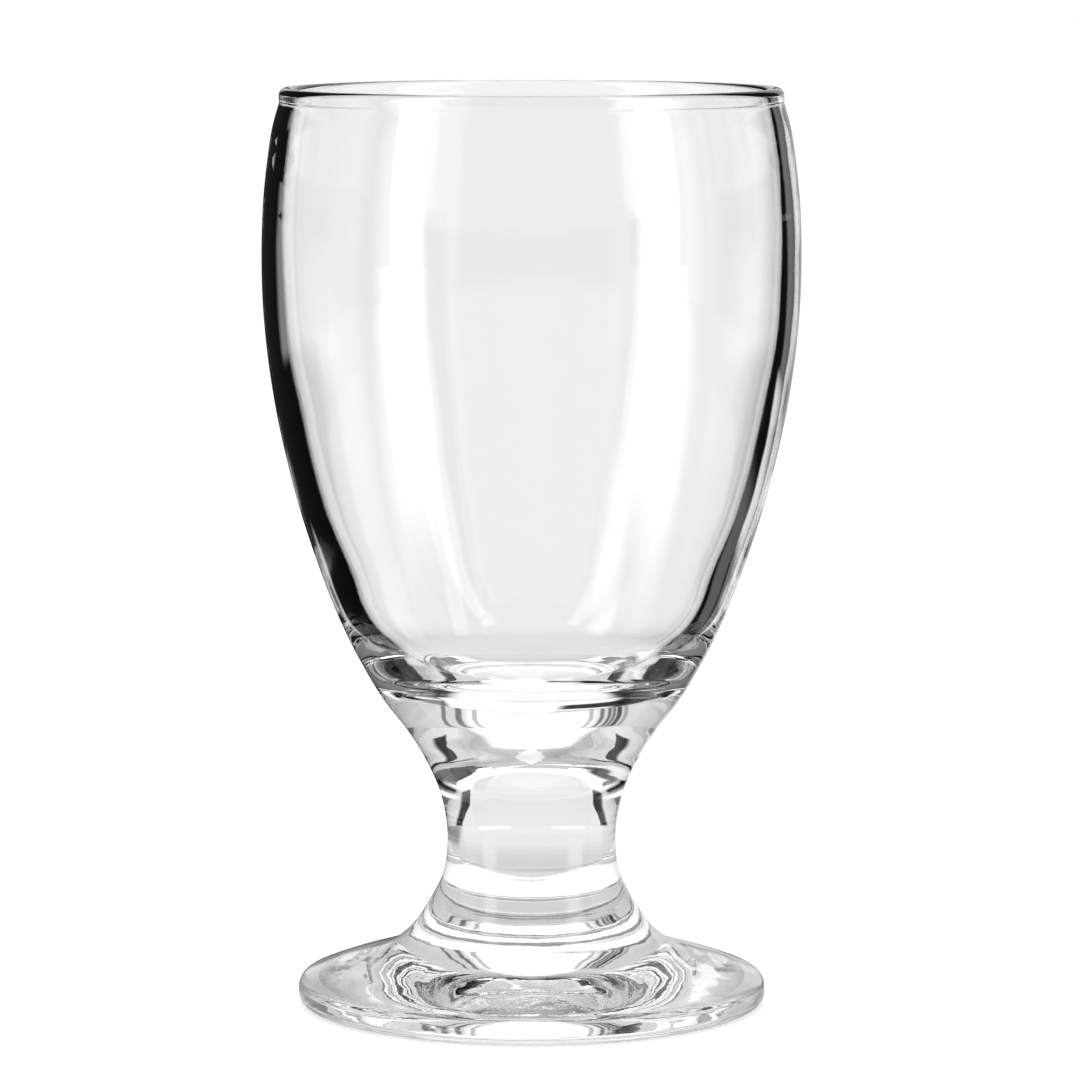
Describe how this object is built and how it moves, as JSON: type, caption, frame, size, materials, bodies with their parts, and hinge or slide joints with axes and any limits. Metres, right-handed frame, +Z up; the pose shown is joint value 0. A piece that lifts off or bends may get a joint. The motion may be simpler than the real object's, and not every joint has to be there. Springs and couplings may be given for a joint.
{
  "type": "goblet",
  "caption": "Clear glass goblet with a deep barrel-shaped bowl, a rounded rim, a short solid stem and a round foot.",
  "frame": {"origin": "centre of the foot's resting face, on the surface that the goblet stands on", "axes": "+Z up along the axis of the bowl, stem and foot; X and Y are alike, because the goblet is round"},
  "size_m": [0.0798, 0.0798, 0.1365],
  "materials": {
    "bowl_glass": "clear, fire-polished",
    "stem_glass": "clear, pressed and fire-polished",
    "foot_glass": "clear, pressed, lightly rippled, worn on the resting ring"
  },
  "bodies": {
    "root": {"bowl": "bowl_glass", "stem": "stem_glass", "foot": "foot_glass"}
  },
  "joints": []
}
